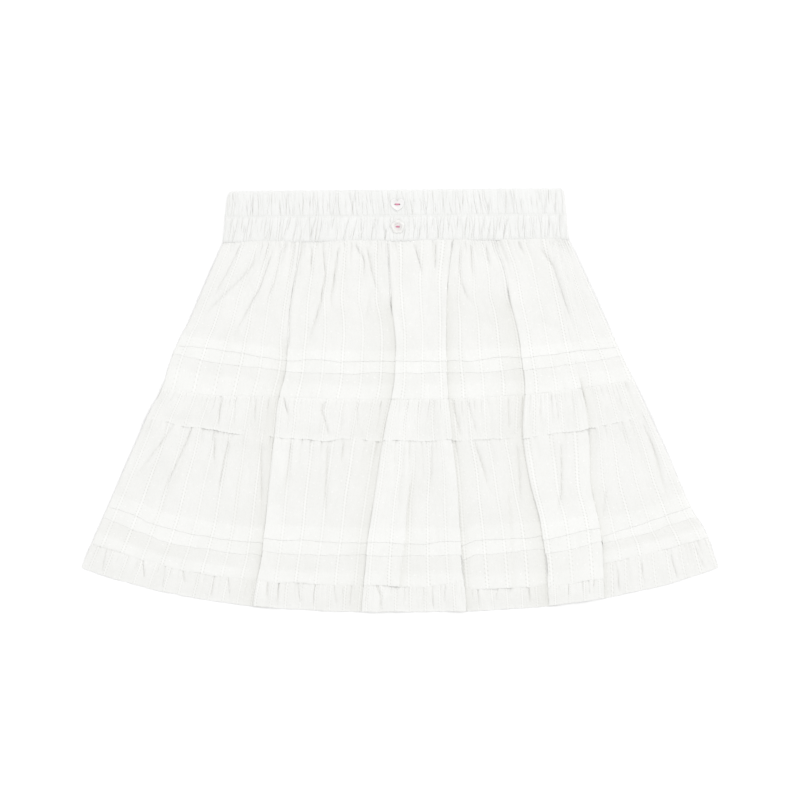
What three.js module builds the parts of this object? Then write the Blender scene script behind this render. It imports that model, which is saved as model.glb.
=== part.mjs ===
// A child's tiered ruffle skirt in light cotton, laid flat on its back on a table.
// Millimetres, +Z up, +X to the right of the front, +Y from the hem to the waist.
// The front is a stack of cloth walls on a folded base surface. The back lies flat beneath it.
import * as THREE from "three";

// ---------------------------------------------------------------- driving dimensions
const BAND_DEPTH = 38.5;          // waist edge to waist seam
const UPPER_DEPTH = 119;          // waist seam to flounce seam, down the centre
const FLOUNCE_DEPTH = 30;         // flounce seam to the flounce's own edge
const LOWER_DEPTH = 137.5;        // flounce seam to hem seam
const HEM_RUFFLE_DEPTH = 21;      // hem seam to hem
const BAND_TOP_WIDTH = 252;
const WAIST_WIDTH = 259;
const HEM_WIDTH = 478;
const HEM_SAG = 33;               // how far the side corners of the hem lie above its middle
const SAG_POWER = 2.6;
const WAIST_SHIFT = -3;           // the waist lies a little left of the hem's middle
const WAIST_TILT = 0.009;         // and its right end a little high

const CLOTH = 1.0;                // thickness of one wall
const GAP = 0.3;                  // between two walls that touch or are sewn together
const BAND_BACK = 1.9;            // the gathered casings are thicker than one wall
const BAND_FRONT = 2.2;
const TUCK = 0.8;                 // how far a tuck stands above its panel

// Depths below the waist seam, down the centre front.
const SKIRT_DEPTH = UPPER_DEPTH + LOWER_DEPTH + HEM_RUFFLE_DEPTH;
const FLOUNCE_EDGE = UPPER_DEPTH + FLOUNCE_DEPTH;
const FLOUNCE_MIDDLE = UPPER_DEPTH + FLOUNCE_DEPTH / 2;
const HEM_SEAM = UPPER_DEPTH + LOWER_DEPTH;
const UPPER_TUCKS = { from: 83, to: 99 };
const LOWER_TUCKS = { from: 214, to: 235 };

// The knife pleats that the flat skirt falls into. over is 1 where the right side lies over the left
// and -1 where the left side lies over the right. The next five columns say where its edge runs, from
// -1 at the left side seam to 1 at the right one, at the depths in PLEAT_DEPTHS. It starts at depth
// from and lies fully folded, by overlap, at depth full.
const PLEAT_DEPTHS = [0, 92, UPPER_DEPTH, FLOUNCE_EDGE, SKIRT_DEPTH];
const PLEATS = [
  { over: 1, edge: [-0.54, -0.485, -0.469, -0.442, -0.455], from: 70, full: 165, overlap: 9 },
  { over: 1, edge: [-0.04, 0.005, -0.02, -0.06, -0.116], from: 10, full: 150, overlap: 24 },
  { over: -1, edge: [0.33, 0.247, 0.223, 0.219, 0.207], from: 5, full: 150, overlap: 7 },
  { over: 1, edge: [0.57, 0.568, 0.535, 0.494, 0.473], from: 20, full: 150, overlap: 20 },
  { over: -1, edge: [0.86, 0.85, 0.817, 0.761, 0.658], from: 100, full: 190, overlap: 11 },
];
const OUTER_BEND = 2.6;           // radius where the face of the cloth is inside the bend
const INNER_BEND = 0.3;           // radius where the back of the cloth is inside the bend

// The cloth between two pleats, from left to right: where its gathers' troughs lie across it, and how
// much lower than the rest its hem seam is.
const SECTIONS = [
  { troughs: [0, 0.17, 0.36, 0.55, 0.78, 1], drop: 0 },
  { troughs: [0, 0.22, 0.58, 1], drop: 1 },
  { troughs: [0, 0.4, 0.72, 1], drop: 1 },
  { troughs: [0, 0.35, 1], drop: 5 },
  { troughs: [0, 0.55, 1], drop: 8 },
  { troughs: [0, 0.3, 0.62, 1], drop: -3 },
];

// ---------------------------------------------------------------- small helpers
const lerp = (a, b, f) => a + (b - a) * f;
const clamp = (v, low, high) => Math.min(high, Math.max(low, v));
const smooth = (low, high, v) => {
  const f = clamp((v - low) / (high - low), 0, 1);
  return f * f * (3 - 2 * f);
};

// Straight-line reading of a table whose entries stand at the given places.
function readTable(places, values, at) {
  let i = 0;
  while (i < places.length - 2 && at > places[i + 1]) i++;
  const f = clamp((at - places[i]) / (places[i + 1] - places[i]), 0, 1);
  return lerp(values[i], values[i + 1], f);
}

// ---------------------------------------------------------------- the flat outline
// Depth is measured down the centre from the waist seam, and is negative in the waistband.
const share = (depth) => clamp(depth / SKIRT_DEPTH, 0, 1);

function halfWidth(depth) {
  if (depth >= 0) return lerp(WAIST_WIDTH, HEM_WIDTH, share(depth)) / 2;
  return lerp(WAIST_WIDTH, BAND_TOP_WIDTH, -depth / BAND_DEPTH) / 2;
}

const middle = (depth) => WAIST_SHIFT * (1 - share(depth));

function layY(x, depth, drop = 0) {
  const across = Math.abs(x - middle(depth)) / halfWidth(depth);
  const sag = HEM_SAG * share(depth) * across ** SAG_POWER;
  const tilt = WAIST_TILT * x * (1 - share(depth));
  const dropped = drop * smooth(UPPER_DEPTH, HEM_SEAM, depth) * (1 - smooth(HEM_SEAM, SKIRT_DEPTH, depth));
  return -depth + sag + tilt - dropped;
}

// ---------------------------------------------------------------- the base surface of the front
// Underside of the front cloth: it lies on the back, which is lifted by its own flounce underneath.
const backLift = (depth) =>
  (CLOTH + GAP) * smooth(UPPER_DEPTH - 8, UPPER_DEPTH, depth) *
  (1 - smooth(FLOUNCE_EDGE + 1, FLOUNCE_EDGE + 14, depth));

const frontFloor = (depth) =>
  CLOTH + GAP + backLift(depth) + (BAND_BACK - CLOTH) * (1 - smooth(0, 14, depth));

// One pleat across a row, from the cloth that goes under it to the cloth on top, as points with the
// angle of the cloth at each. It starts at 0, 0.
function pleatCurve(pleat, depth) {
  const grown = (depth - pleat.from) / (pleat.full - pleat.from);
  const turn = Math.PI * smooth(0, 0.35, grown);
  const overlap = pleat.overlap * smooth(0, 1, grown);
  const points = [{ x: 0, z: 0, angle: 0 }];
  const add = (length, angle, bearing) => {
    const last = points[points.length - 1];
    points.push({
      x: last.x + length * Math.cos(bearing),
      z: last.z + length * Math.sin(bearing),
      angle,
    });
  };
  const bend = (from, to, radius, steps) => {
    const step = (to - from) / steps;
    const arc = (Math.PI * radius) / steps;
    const chord = Math.abs(step) < 1e-6 ? arc : (arc / Math.abs(step)) * 2 * Math.sin(Math.abs(step) / 2);
    for (let i = 0; i < steps; i++) add(chord, from + step * (i + 1), from + step * (i + 0.5));
  };
  add(overlap + INNER_BEND, 0, 0);
  bend(0, turn, OUTER_BEND, 3);
  add(overlap, turn, turn);
  bend(turn, 0, INNER_BEND, 2);
  return { points, turned: turn / Math.PI };
}

// The pleat in place across the row. high is its end on top and low its end beneath.
function pleatAcross(pleat, depth) {
  const { points, turned } = pleatCurve(pleat, depth);
  const end = points[points.length - 1];
  const edge = middle(depth) + halfWidth(depth) * readTable(PLEAT_DEPTHS, pleat.edge, depth);
  const past = lerp(end.x / 2, INNER_BEND, turned);
  const placed = points.map((p) => ({
    x: edge + pleat.over * (p.x - end.x + past),
    z: p.z,
    angle: pleat.over * p.angle,
  }));
  return pleat.over > 0 ? placed : placed.reverse();
}

// A row of the base surface at one depth. Each point has its place, its angle, the hem drop of its
// section, and fold: 0 at a trough or in a pleat, up to 1 on top of a gather. Repeats splits each
// gather into finer ones.
const GATHER_RISE = [0, 1, 0.9];

function baseRow(depth, repeats) {
  const pleats = PLEATS.map((p) => pleatAcross(p, depth));
  const side = halfWidth(depth);
  const starts = [{ x: middle(depth) - side, z: 0 }, ...pleats.map((p) => p[p.length - 1])];
  const ends = [...pleats.map((p) => p[0]), { x: middle(depth) + side, z: 0 }];
  const row = [];
  SECTIONS.forEach((section, k) => {
    const from = starts[k];
    const to = ends[k];
    const put = (f, fold) =>
      row.push({
        x: lerp(from.x, to.x, f),
        z: lerp(from.z, to.z, f),
        angle: 0,
        fold,
        drop: section.drop,
      });
    const gathers = (section.troughs.length - 1) * repeats;
    for (let g = 0; g < gathers; g++) {
      const left = readTable(section.troughs.map((_, i) => i * repeats), section.troughs, g);
      const right = readTable(section.troughs.map((_, i) => i * repeats), section.troughs, g + 1);
      const rises = GATHER_RISE.slice(0, repeats > 1 ? 2 : 3);
      rises.forEach((rise, i) => {
        if (g + i > 0 || k === 0) put(lerp(left, right, i / rises.length), rise);
      });
    }
    if (k === SECTIONS.length - 1) put(1, 0);
    else {
      const next = SECTIONS[k + 1].drop;
      pleats[k].forEach((p, i) =>
        row.push({ ...p, fold: 0, drop: lerp(section.drop, next, i / (pleats[k].length - 1)) }),
      );
    }
  });
  return row.map((p) => ({ ...p, y: layY(p.x, depth, p.drop) }));
}

// ---------------------------------------------------------------- walls of cloth
// A closed wall from rows of { under, over } point pairs, each row as long as the others.
function wall(rows) {
  const across = rows[0].length;
  const positions = [];
  rows.forEach((row) => row.forEach(({ over }) => positions.push(...over)));
  rows.forEach((row) => row.forEach(({ under }) => positions.push(...under)));
  const over = (r, c) => r * across + c;
  const under = (r, c) => rows.length * across + r * across + c;
  const index = [];
  const quad = (a, b, c, d) => index.push(a, b, c, a, c, d);
  for (let r = 0; r < rows.length - 1; r++) {
    for (let c = 0; c < across - 1; c++) {
      quad(over(r, c), over(r + 1, c), over(r + 1, c + 1), over(r, c + 1));
      quad(under(r, c), under(r, c + 1), under(r + 1, c + 1), under(r + 1, c));
    }
    quad(over(r, 0), under(r, 0), under(r + 1, 0), over(r + 1, 0));
    const end = across - 1;
    quad(over(r, end), over(r + 1, end), under(r + 1, end), under(r, end));
  }
  const last = rows.length - 1;
  for (let c = 0; c < across - 1; c++) {
    quad(over(0, c), over(0, c + 1), under(0, c + 1), under(0, c));
    quad(over(last, c), under(last, c), under(last, c + 1), over(last, c + 1));
  }
  const geometry = new THREE.BufferGeometry();
  geometry.setAttribute("position", new THREE.Float32BufferAttribute(positions, 3));
  geometry.setIndex(index);
  geometry.computeVertexNormals();
  return geometry;
}

// A front piece. Each row has a depth, the height of its gathers, and how far its wall's two faces
// stand off the base surface.
function frontWall(rows, repeats) {
  return wall(
    rows.map(({ depth, gather, off = 0, thick = CLOTH }) =>
      baseRow(depth, repeats).map((p) => {
        const stand = (n) => [
          p.x - n * Math.sin(p.angle),
          p.y,
          frontFloor(depth) + p.z + n * Math.cos(p.angle),
        ];
        const low = off + gather * p.fold;
        return { over: stand(low + thick), under: stand(low) };
      }),
    ),
  );
}

// A back piece: flat underneath, a little inside the front's outline. Each row has a depth, its height
// above the table and its thickness.
const BACK_INSET = 1.0;
const BACK_COLUMNS = 14;

function backWall(rows) {
  return wall(
    rows.map(({ depth, lift = 0, thick = CLOTH }) => {
      const side = halfWidth(depth) - BACK_INSET;
      return Array.from({ length: BACK_COLUMNS + 1 }, (_, i) => {
        const x = middle(depth) + lerp(-side, side, i / BACK_COLUMNS);
        const y = layY(x, depth);
        return { over: [x, y, lift + thick], under: [x, y, lift] };
      });
    }),
  );
}

// ---------------------------------------------------------------- the pieces
const COTTON = { color: 0xf3f3f0, roughness: 0.9, metalness: 0 };
const SHELL = { color: 0xf8f8f6, roughness: 0.35, metalness: 0 };
const skirt = new THREE.Group();

function add(name, geometry, finish) {
  const mesh = new THREE.Mesh(geometry, new THREE.MeshStandardMaterial(finish));
  mesh.name = name;
  skirt.add(mesh);
  return mesh;
}

const SEAM = GAP / 2;             // each piece stops this far from its seam line

// Waistband: two elastic casings, one above the other, with stitched lines at both edges and between.
const BAND_RIBS = 22;
const RIB_RISE = [0, 0.55];
const CASING_LINE = -BAND_DEPTH / 2;
const CASING_SHOULDER = 2.2;
const STITCHED = 0.75;            // share of the thickness left where the casing is stitched down
const BAND_ROWS = [
  { depth: -BAND_DEPTH, full: STITCHED },
  { depth: -BAND_DEPTH + CASING_SHOULDER, full: 1 },
  { depth: CASING_LINE - CASING_SHOULDER, full: 1 },
  { depth: CASING_LINE, full: STITCHED },
  { depth: CASING_LINE + CASING_SHOULDER, full: 1 },
  { depth: -CASING_SHOULDER, full: 1 },
  { depth: -SEAM, full: STITCHED },
];

function bandFront() {
  return wall(
    BAND_ROWS.map(({ depth, full }) => {
      const columns = BAND_RIBS * RIB_RISE.length;
      return Array.from({ length: columns + 1 }, (_, i) => {
        const x = middle(0) + halfWidth(depth) * (-1 + (2 * i) / columns);
        const floor = BAND_BACK + GAP;
        const rise = RIB_RISE[i % RIB_RISE.length] * full;
        const y = layY(x, depth);
        return { over: [x, y, floor + BAND_FRONT * full - 0.5 + rise], under: [x, y, floor] };
      });
    }),
  );
}

add("waistband_front", bandFront(), COTTON);
add(
  "waistband_back",
  backWall([
    { depth: -BAND_DEPTH, thick: BAND_BACK * STITCHED },
    { depth: -BAND_DEPTH + CASING_SHOULDER, thick: BAND_BACK },
    { depth: -CASING_SHOULDER, thick: BAND_BACK },
    { depth: -SEAM, thick: BAND_BACK * STITCHED },
  ]),
  COTTON,
);

const TUCKED = CLOTH + TUCK;
const EDGE = 0.4;                 // length of the step at a tuck's edge
add(
  "upper_tier_front",
  frontWall(
    [
      { depth: SEAM, gather: 1.2 },
      { depth: 10, gather: 3.0 },
      { depth: 45, gather: 2.6 },
      { depth: UPPER_TUCKS.from, gather: 0.9 },
      { depth: UPPER_TUCKS.to, gather: 0.6, thick: TUCKED },
      { depth: UPPER_TUCKS.to + EDGE, gather: 0.6 },
      { depth: UPPER_DEPTH - SEAM, gather: 0.3 },
    ],
    1,
  ),
  COTTON,
);
add(
  "flounce_front",
  frontWall(
    [
      { depth: UPPER_DEPTH + SEAM, gather: 0.5, off: CLOTH + GAP },
      { depth: FLOUNCE_MIDDLE, gather: 1.3, off: CLOTH + GAP },
      { depth: FLOUNCE_EDGE, gather: 1.7, off: CLOTH + GAP },
    ],
    2,
  ),
  COTTON,
);
add(
  "lower_tier_front",
  frontWall(
    [
      { depth: UPPER_DEPTH + SEAM, gather: 0 },
      { depth: FLOUNCE_MIDDLE, gather: 0 },
      { depth: FLOUNCE_EDGE, gather: 0 },
      { depth: FLOUNCE_EDGE + 14, gather: 1.8 },
      { depth: LOWER_TUCKS.from, gather: 0.8 },
      { depth: LOWER_TUCKS.to, gather: 0.6, thick: TUCKED },
      { depth: LOWER_TUCKS.to + EDGE, gather: 0.6 },
      { depth: HEM_SEAM - SEAM, gather: 0.4 },
    ],
    1,
  ),
  COTTON,
);
add(
  "hem_ruffle_front",
  frontWall(
    [
      { depth: HEM_SEAM + SEAM, gather: 0.4 },
      { depth: lerp(HEM_SEAM, SKIRT_DEPTH, 0.5), gather: 1.2 },
      { depth: SKIRT_DEPTH, gather: 1.4 },
    ],
    2,
  ),
  COTTON,
);

add(
  "upper_tier_back",
  backWall([
    { depth: SEAM },
    { depth: UPPER_TUCKS.from },
    { depth: UPPER_DEPTH - SEAM },
  ]),
  COTTON,
);
add("flounce_back", backWall([{ depth: UPPER_DEPTH + SEAM }, { depth: FLOUNCE_EDGE }]), COTTON);
add(
  "lower_tier_back",
  backWall([
    { depth: UPPER_DEPTH + SEAM, lift: CLOTH + GAP },
    { depth: FLOUNCE_EDGE + 1, lift: CLOTH + GAP },
    { depth: FLOUNCE_EDGE + 14 },
    { depth: LOWER_TUCKS.from },
    { depth: HEM_SEAM - SEAM },
  ]),
  COTTON,
);
add(
  "hem_ruffle_back",
  backWall([{ depth: HEM_SEAM + SEAM }, { depth: SKIRT_DEPTH - 2 * BACK_INSET }]),
  COTTON,
);

// ---------------------------------------------------------------- the buttons
const BUTTON_THICK = 1.8;
const BUTTON_BEVEL = 0.35;
const HOLE_RADIUS = 0.6;
const HOLE_SPACING = 3.2;
const BUTTON_FLOOR = BAND_BACK + GAP + BAND_FRONT - 0.5 + Math.max(...RIB_RISE) + GAP;

function ring(radius, steps, x = 0) {
  return Array.from({ length: steps }, (_, i) => {
    const turn = (2 * Math.PI * i) / steps;
    return new THREE.Vector2(x + radius * Math.cos(turn), radius * Math.sin(turn));
  });
}

function sewnButton(outline, depth) {
  const shape = new THREE.Shape(outline);
  for (const side of [-1, 1]) {
    shape.holes.push(new THREE.Path(ring(HOLE_RADIUS, 8, (side * HOLE_SPACING) / 2)));
  }
  const geometry = new THREE.ExtrudeGeometry(shape, {
    depth: BUTTON_THICK - 2 * BUTTON_BEVEL,
    bevelEnabled: true,
    bevelThickness: BUTTON_BEVEL,
    bevelSize: BUTTON_BEVEL,
    bevelOffset: -BUTTON_BEVEL,
    bevelSegments: 1,
  });
  const x = middle(0);
  geometry.translate(x, layY(x, depth), BUTTON_FLOOR + BUTTON_BEVEL);
  return geometry;
}

// A heart with its cleft towards the waist edge, as points once round it.
function heart(width, height) {
  const half = width / 2;
  const cleft = height * 0.27;
  const side = height * 0.1;
  const point = -height * 0.54;
  const at = (x, y) => new THREE.Vector2(x, y);
  const lobe = new THREE.CubicBezierCurve(
    at(0, cleft),
    at(half * 0.2, height * 0.5),
    at(half, height * 0.55),
    at(half, side),
  );
  const flank = new THREE.CubicBezierCurve(
    at(half, side),
    at(half, -height * 0.18),
    at(half * 0.45, -height * 0.38),
    at(0, point),
  );
  const right = [...lobe.getPoints(7).slice(0, -1), ...flank.getPoints(5)];
  const left = right.slice(1, -1).map((p) => at(-p.x, p.y));
  return [...right, ...left.reverse()].reverse();
}

// A flower with round petals, as points once round it.
function flower(radius, petals) {
  const steps = petals * 6;
  return Array.from({ length: steps }, (_, i) => {
    const turn = (2 * Math.PI * i) / steps;
    const r = radius * (0.86 + 0.14 * Math.abs(Math.cos((petals * turn) / 2)));
    return new THREE.Vector2(-r * Math.sin(turn), r * Math.cos(turn));
  });
}

add("heart_button", sewnButton(heart(10.6, 9.6), -BAND_DEPTH * 0.73), SHELL);
add("flower_button", sewnButton(flower(5.4, 5), -BAND_DEPTH * 0.27), SHELL);

// The origin is the middle of the ground that the skirt covers.
const box = new THREE.Box3().setFromObject(skirt);
const centre = box.getCenter(new THREE.Vector3());
skirt.position.set(-centre.x, -centre.y, -box.min.z);

export default skirt;
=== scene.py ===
import math
import bmesh
import bpy
import mathutils
import numpy as np
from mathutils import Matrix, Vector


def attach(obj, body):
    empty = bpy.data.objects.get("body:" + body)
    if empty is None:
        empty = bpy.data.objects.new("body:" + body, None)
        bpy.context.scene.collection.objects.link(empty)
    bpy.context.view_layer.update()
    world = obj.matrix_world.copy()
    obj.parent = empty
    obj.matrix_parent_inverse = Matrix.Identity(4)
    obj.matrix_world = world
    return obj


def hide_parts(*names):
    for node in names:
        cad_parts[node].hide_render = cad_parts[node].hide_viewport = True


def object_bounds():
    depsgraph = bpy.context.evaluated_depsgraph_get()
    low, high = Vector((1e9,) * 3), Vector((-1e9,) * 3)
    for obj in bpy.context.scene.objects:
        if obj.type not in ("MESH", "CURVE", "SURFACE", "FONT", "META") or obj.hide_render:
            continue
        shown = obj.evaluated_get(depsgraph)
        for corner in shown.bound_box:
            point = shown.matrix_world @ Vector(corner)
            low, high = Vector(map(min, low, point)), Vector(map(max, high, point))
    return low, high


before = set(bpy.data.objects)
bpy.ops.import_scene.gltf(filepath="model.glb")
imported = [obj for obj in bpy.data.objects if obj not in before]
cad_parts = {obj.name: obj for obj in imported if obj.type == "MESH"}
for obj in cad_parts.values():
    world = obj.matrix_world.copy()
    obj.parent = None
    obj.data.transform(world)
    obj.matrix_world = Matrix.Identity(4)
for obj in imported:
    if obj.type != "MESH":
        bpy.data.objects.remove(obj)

cad_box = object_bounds()

# A child's tiered ruffle skirt in white cotton, laid flat with its front up. Lengths are in
# millimetres until a mesh is made. Depth is measured down the centre front from the waist seam.
MM = 0.001
BAND_DEPTH = 38.5
UPPER_DEPTH = 119.0
FLOUNCE_EDGE = 149.0
HEM_SEAM = 256.5
SKIRT_DEPTH = 277.5
WAIST_WIDTH = 259.0
BAND_TOP_WIDTH = 252.0
HEM_WIDTH = 478.0
HEM_SAG = 33.0
SAG_POWER = 2.6
WAIST_SHIFT = -3.0
WAIST_TILT = 0.009
SEAM_Y = cad_box[0][1] / MM + SKIRT_DEPTH      # the waist seam's y in the frame
CLOTH = 0.2                                    # thickness of one layer
RUFFLE_FULL = 1.35                             # cloth in a ruffle for each length it is sewn to
SIDE_ROUND = 5                                 # how far in from a side edge the cloth turns down
GROUND = 0.13                                  # the lowest the front cloth comes
TURN = 6.283                                   # one whole wave


def smooth(low, high, v):
    f = np.clip((v - low) / (high - low), 0, 1)
    return f * f * (3 - 2 * f)


def rounded(f):
    """A quarter circle: 0 at 0, and level at 1 and past it."""
    return np.sqrt(np.clip(1 - (1 - np.clip(f, 0, 1)) ** 2, 0, 1))


def any_phase(rng):
    return rng.uniform(0, 6.28)


def share(depth):
    return np.clip(depth / SKIRT_DEPTH, 0, 1)


def half_width(depth):
    below = WAIST_WIDTH + (HEM_WIDTH - WAIST_WIDTH) * share(depth)
    above = WAIST_WIDTH + (BAND_TOP_WIDTH - WAIST_WIDTH) * np.clip(-depth / BAND_DEPTH, 0, 1)
    return np.where(depth >= 0, below, above) / 2


def middle(depth):
    return WAIST_SHIFT * (1 - share(depth))


def lay_y(x, depth):
    across = np.abs(x - middle(depth)) / half_width(depth)
    sag = HEM_SAG * share(depth) * across ** SAG_POWER
    return SEAM_Y - depth + sag + WAIST_TILT * x * (1 - share(depth))


# ---------------------------------------------------------------- the front's base surface
FLOOR = 1.9                                    # height of the front cloth where nothing lifts it
OUTER_BEND = 0.32
INNER_BEND = 0.26
# Pleats: over is 1 where the right side lies over the left. path is (depth, x) down its edge. shade is how
# far the painted shade reaches beside it.
PLEATS = [
    dict(over=1, start=66, full=165, lap=9, shade=10,
         path=[(0, -74), (60, -83), (100, -85), (119, -91), (149, -94), (239, -103.5), (278, -111)]),
    dict(over=1, start=34, full=150, lap=24, shade=13,
         path=[(0, -8.5), (39, -7), (76, -2.5), (107, -4), (148, -12.5), (186, -18), (222, -24),
               (278, -29)]),
    dict(over=-1, start=20, full=150, lap=7, shade=7,
         path=[(0, 39), (33, 34.5), (88, 34.5), (119, 36), (149, 39), (186, 43), (222, 45), (278, 50)]),
    dict(over=1, start=30, full=150, lap=20, shade=14,
         path=[(0, 70), (22, 79.5), (44, 82.5), (70, 89), (113, 94.5), (149, 92), (183, 98), (210, 105),
               (240, 110), (278, 112)]),
    dict(over=-1, start=100, full=190, lap=11, shade=4,
         path=[(0, 112), (80, 128), (119, 136), (152, 142), (190, 142), (220, 148.5), (240, 152),
               (278, 153)]),
]
# Each section between two pleats: its width where it is widest, and how low its hem seam lies.
SECTION_WIDTH = [140, 78, 79, 62, 45, 86]
SECTION_DROP = [0, 1, 1, 5, 8, -3]
LAP_REST = 16                                  # how far past a lap the cloth comes down again
PLEAT_RUN = 7
PLEAT_BEND = 6


def pleat_edge(p, depth):
    d = np.array([q[0] for q in p["path"]], float)
    x = np.array([q[1] for q in p["path"]], float)
    total = 0
    for shift in (-9, -4, 0, 4, 9):
        total = total + np.interp(depth + shift, d, x)
    return total / 5


def pleat_strip(p, depth):
    """x, z, angle of the strip that turns under, and its state, one row for each depth."""
    grown = (depth - p["start"]) / (p["full"] - p["start"])
    turn = math.pi * smooth(0, 0.22, grown)
    lap = p["lap"] * smooth(0, 1, grown)
    one = np.ones_like(depth)
    steps = []
    for i in range(PLEAT_RUN):
        steps.append(((lap + INNER_BEND) / PLEAT_RUN, 0 * one, 0 * one))
    for i in range(PLEAT_BEND):
        arc = math.pi * OUTER_BEND / PLEAT_BEND * one
        steps.append((arc, turn * (i + 0.5) / PLEAT_BEND, turn * (i + 1) / PLEAT_BEND))
    for i in range(PLEAT_RUN):
        steps.append((lap / PLEAT_RUN, turn, turn))
    for i in range(PLEAT_BEND):
        arc = math.pi * INNER_BEND / PLEAT_BEND * one
        steps.append((arc, turn * (1 - (i + 0.5) / PLEAT_BEND), turn * (1 - (i + 1) / PLEAT_BEND)))
    length = np.stack([s[0] for s in steps], 1)
    mid = np.stack([s[1] for s in steps], 1)
    end = np.stack([s[2] for s in steps], 1)
    start = np.zeros((len(depth), 1))
    x = np.hstack([start, np.cumsum(length * np.cos(mid), 1)])
    z = np.hstack([start, np.cumsum(length * np.sin(mid), 1)])
    angle = np.hstack([start, end])
    lying = turn / math.pi
    past = x[:, -1] / 2 * (1 - lying) + INNER_BEND * lying
    edge = pleat_edge(p, depth)
    x = edge[:, None] + p["over"] * (x - x[:, -1:] + past[:, None])
    angle = p["over"] * angle
    # How freely the cloth can crease: all of it on top, none of it underneath.
    run = np.concatenate([
        np.linspace(1, 0, PLEAT_RUN + 1) ** 2,
        np.zeros(PLEAT_BEND + PLEAT_RUN),
        np.linspace(0, 1, PLEAT_BEND + 1)[1:],
    ])
    free = np.tile(run, (len(depth), 1))
    free = free * lying[:, None] + (1 - lying[:, None])
    if p["over"] < 0:
        x, z, angle, free = x[:, ::-1], z[:, ::-1], angle[:, ::-1], free[:, ::-1]
    return dict(x=x, z=z, angle=angle, free=free, lap=lap, lying=lying)


def seam_drift(base, d):
    """How much lower than their even curve the tucks and seams lie: the cloth has slid a little."""
    def reach(a, b, c, e):
        return smooth(a, b, d) * (1 - smooth(c, e, d))

    def part(number):
        return np.abs(base["section"] - number) < 0.1

    f = base["f"]
    tucks = reach(175, 218, 238, 254)
    hem = reach(240, 256, 258, 276)
    left = 1 - smooth(0.3, 1.0, f)
    out = part(0) * left * (4.5 * reach(108, 117, 121, 146) - 3.0 * reach(66, 84, 100, 112))
    sunk = 5.0 * reach(175, 222, 238, 254) + 1.5 * hem
    out = out + sunk * (part(0) * smooth(0.0, 0.4, f) + part(0.5) * f)
    out = out - part(3) * 4.0 * smooth(0.0, 0.2, f) * tucks
    out = out - part(4) * (tucks * (4.0 + 2.8 * f) + 1.6 * hem)
    return out - part(3.5) * tucks * 4.0 - part(4.5) * f * tucks * 6.8


def front_base(depth, step):
    """The base surface at each depth, with columns about a step apart where the skirt is widest."""
    strips = [pleat_strip(p, depth) for p in PLEATS]
    side = half_width(depth)
    starts = [(middle(depth) - side, 0 * depth)] + [(s["x"][:, -1], s["z"][:, -1]) for s in strips]
    ends = [(s["x"][:, 0], s["z"][:, 0]) for s in strips] + [(middle(depth) + side, 0 * depth)]
    d = depth[:, None]
    parts = []
    for k in range(len(SECTION_DROP)):
        count = max(4, int(round(SECTION_WIDTH[k] / step)))
        f = np.linspace(0, 1, count + 1)[None, :]
        (x0, z0), (x1, z1) = starts[k], ends[k]
        neighbours = []
        if k > 0:
            f = f[:, 1:]
            neighbours.append((k - 1, 1, x0, z0))
        if k < len(PLEATS):
            f = f[:, :-1]
            neighbours.append((k, -1, x1, z1))
        x = x0[:, None] + (x1 - x0)[:, None] * f
        z = 0 * x
        double = 0 * x
        shade = 0 * x
        for number, facing, edge_x, edge_z in neighbours:
            p, s = PLEATS[number], strips[number]
            on_top = p["over"] == facing
            lap = s["lap"][:, None] if on_top else 0 * d
            off = facing * (x - edge_x[:, None])
            z = np.maximum(z, edge_z[:, None] * (1 - smooth(lap, lap + LAP_REST, off)))
            double = np.maximum(double, (lap > 1) * (1 - smooth(lap - 0.8, lap + 0.8, off)))
            # Painted shade on the cloth beside the pleat's edge, fading away from it.
            if not on_top:
                gap = np.clip(facing * (x - pleat_edge(p, depth)[:, None]), 0, None)
                near = np.exp(-(gap / p["shade"]) ** 1.2)
                shade = np.maximum(shade, s["lying"][:, None] * near)
        flat = 0 * x
        parts.append(dict(x=x, z=z, angle=flat, free=1 + flat, drop=SECTION_DROP[k] + flat, double=double,
                          f=f + flat, section=k + flat, shade=shade))
        if k < len(strips):
            s = strips[k]
            m = np.linspace(0, 1, s["x"].shape[1])[None, :] + 0 * s["x"]
            drop = SECTION_DROP[k] + (SECTION_DROP[k + 1] - SECTION_DROP[k]) * m
            # The strip that turns under gets painted shade where it is hidden.
            hidden = 1 - s["free"]
            parts.append(dict(x=s["x"], z=s["z"], angle=s["angle"], free=s["free"], drop=drop,
                              double=np.clip(hidden, 0, 1), f=1 - m, section=k + 0.5 + 0 * m, shade=hidden))
    base = {key: np.concatenate([part[key] for part in parts], 1) for key in parts[0]}
    dropping = smooth(UPPER_DEPTH, HEM_SEAM, d) * (1 - smooth(HEM_SEAM, SKIRT_DEPTH, d))
    base["y_drop"] = base["drop"] * dropping
    # The last section has slid up against its pleat, so its tucks droop and its hem seam rises there.
    last = smooth(4.4, 5.0, base["section"])
    slid = -9 * smooth(170, 224, d) * (1 - smooth(226, 250, d)) * (1 - 0.55 * base["f"])
    risen = 2.5 * smooth(226, 256, d) * (1 - smooth(256, 278, d)) * (1 - 0.5 * base["f"])
    base["y_drop"] = base["y_drop"] - last * (slid + risen) + seam_drift(base, d)
    return base


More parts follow.
